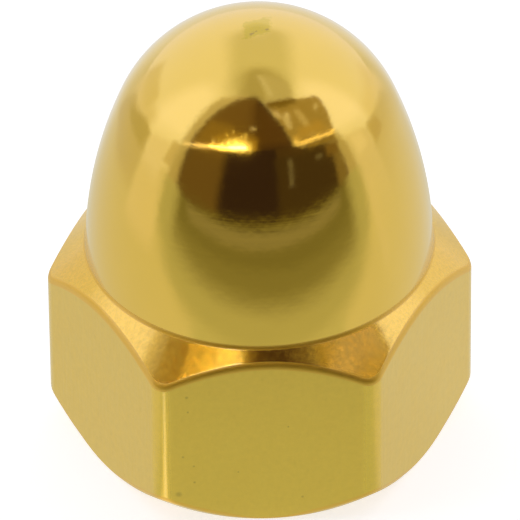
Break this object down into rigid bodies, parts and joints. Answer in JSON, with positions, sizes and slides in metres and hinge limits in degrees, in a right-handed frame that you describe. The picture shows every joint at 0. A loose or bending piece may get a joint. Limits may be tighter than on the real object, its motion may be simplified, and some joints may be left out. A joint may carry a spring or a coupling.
{
  "type": "cap nut",
  "caption": "Gold anodised aluminium cap nut: a hexagon chamfered above and below, closed by a tall polished dome, with a blind threaded hole from below.",
  "frame": {"origin": "centre of the flat bearing face, on the thread's axis", "axes": "+Z along the thread's axis, from the bearing face up to the tip of the dome; two of the flats face +Y and -Y, and two corners point along +X and -X"},
  "size_m": [0.009, 0.008, 0.01],
  "materials": {
    "anodised_aluminium": "gold anodised: polished on the dome, finely turned on the chamfers, satin on the flats"
  },
  "bodies": {
    "root": {"cap_nut": "anodised_aluminium"}
  },
  "joints": []
}
